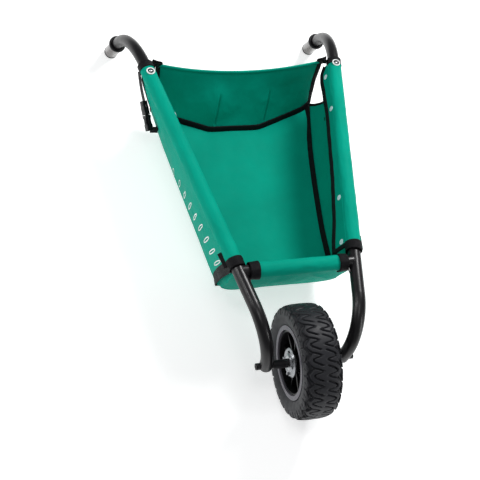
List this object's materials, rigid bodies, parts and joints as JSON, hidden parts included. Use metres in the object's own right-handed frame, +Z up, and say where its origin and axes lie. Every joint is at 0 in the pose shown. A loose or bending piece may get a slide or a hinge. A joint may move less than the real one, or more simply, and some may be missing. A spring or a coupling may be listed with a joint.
{
  "type": "fabric-bag wheelbarrow",
  "caption": "Single-wheel garden wheelbarrow: two bent tube side rails with down-turned grips carry a sling bag of coated cloth above a treaded tyre.",
  "frame": {"origin": "on the floor, below the middle of the whole barrow's bounding box, with the barrow standing on its wheel and grip ends", "axes": "+X to the left hand of a person between the handles, +Y from the wheel back to the handles, +Z up"},
  "size_m": [0.78, 1.436, 0.3299],
  "materials": {
    "powder_coated_tube": "satin black powder coat over steel tube",
    "black_axle_steel": "black oxide steel",
    "bearing_steel": "ground steel",
    "chrome_hub": "bright zinc and chrome plate",
    "eyelet_ring": "white enamelled ring",
    "screw_steel": "domed plated steel",
    "stud_enamel": "pale enamelled press stud",
    "tyre_rubber": "moulded tread rubber",
    "tube_rubber": "butyl rubber",
    "rim_grey": "dark silver paint",
    "rim_black": "moulded black plastic",
    "grip_rubber": "moulded rubber",
    "grip_gloss": "smooth dark vinyl",
    "black_plastic": "moulded acetal",
    "black_webbing": "woven polypropylene webbing",
    "green_canvas": "coated woven polyester"
  },
  "bodies": {
    "frame": {"axle": "black_axle_steel", "axle_caps": "black_plastic", "axle_screws": "screw_steel", "body_straps": "black_webbing", "corner_loops": "black_webbing", "crossbar": "powder_coated_tube", "crossbar_cuffs": "black_webbing", "crossbar_sleeve": "green_canvas", "eyelet_screws": "screw_steel", "eyelets": "eyelet_ring", "floor_panel": "green_canvas", "front_panel": "green_canvas", "front_sling": "black_webbing", "gussets": "powder_coated_tube", "left_axle_spacer": "black_axle_steel", "left_buckle_body": "black_plastic", "left_flap_binding": "black_webbing", "left_floor_seam_binding": "black_webbing", "left_grip": "grip_gloss", "left_grip_cap": "grip_rubber", "left_grip_collar": "grip_rubber", "left_lower_cuff": "black_webbing", "left_pole_sleeve": "green_canvas", "left_side_panel": "green_canvas", "left_side_tube": "powder_coated_tube", "left_sleeve_flap": "green_canvas", "left_tongue_strap": "black_webbing", "left_upper_cuff": "black_webbing", "leg_plugs": "black_plastic", "panel_edge_bindings": "black_webbing", "press_studs": "stud_enamel", "rear_panel": "green_canvas", "rear_seam_binding": "black_webbing", "rear_side_bindings": "black_webbing", "right_axle_spacer": "black_axle_steel", "right_buckle_body": "black_plastic", "right_flap_binding": "black_webbing", "right_floor_seam_binding": "black_webbing", "right_grip": "grip_gloss", "right_grip_cap": "grip_rubber", "right_grip_collar": "grip_rubber", "right_lower_cuff": "black_webbing", "right_pole_sleeve": "green_canvas", "right_side_panel": "green_canvas", "right_side_tube": "powder_coated_tube", "right_sleeve_flap": "green_canvas", "right_tongue_strap": "black_webbing", "right_upper_cuff": "black_webbing"},
    "wheel": {"tyre": "tyre_rubber", "inner_tube": "tube_rubber", "rim_ring": "rim_grey", "rim_centre": "rim_black", "left_bearing": "bearing_steel", "right_bearing": "bearing_steel", "left_hub_flange": "chrome_hub", "right_hub_flange": "chrome_hub", "hub_nuts": "chrome_hub", "valve_stem": "tube_rubber"},
    "left_tongue": {"left_buckle_tongue": "black_plastic"},
    "right_tongue": {"right_buckle_tongue": "black_plastic"}
  },
  "joints": [
    {"name": "wheel_spin", "type": "hinge", "parent": "frame", "child": "wheel", "pos_m": [0, -0.55297, 0.16502], "axis": [1, 0, 0], "continuous": true},
    {"name": "left_buckle_release", "type": "slide", "parent": "frame", "child": "left_tongue", "axis": [0.1516, 0.8252, 0.5441], "range_m": [0, 0.034], "deforming": ["left_tongue_strap"]},
    {"name": "right_buckle_release", "type": "slide", "parent": "frame", "child": "right_tongue", "axis": [-0.1516, 0.8252, 0.5441], "range_m": [0, 0.034], "deforming": ["right_tongue_strap"]}
  ]
}
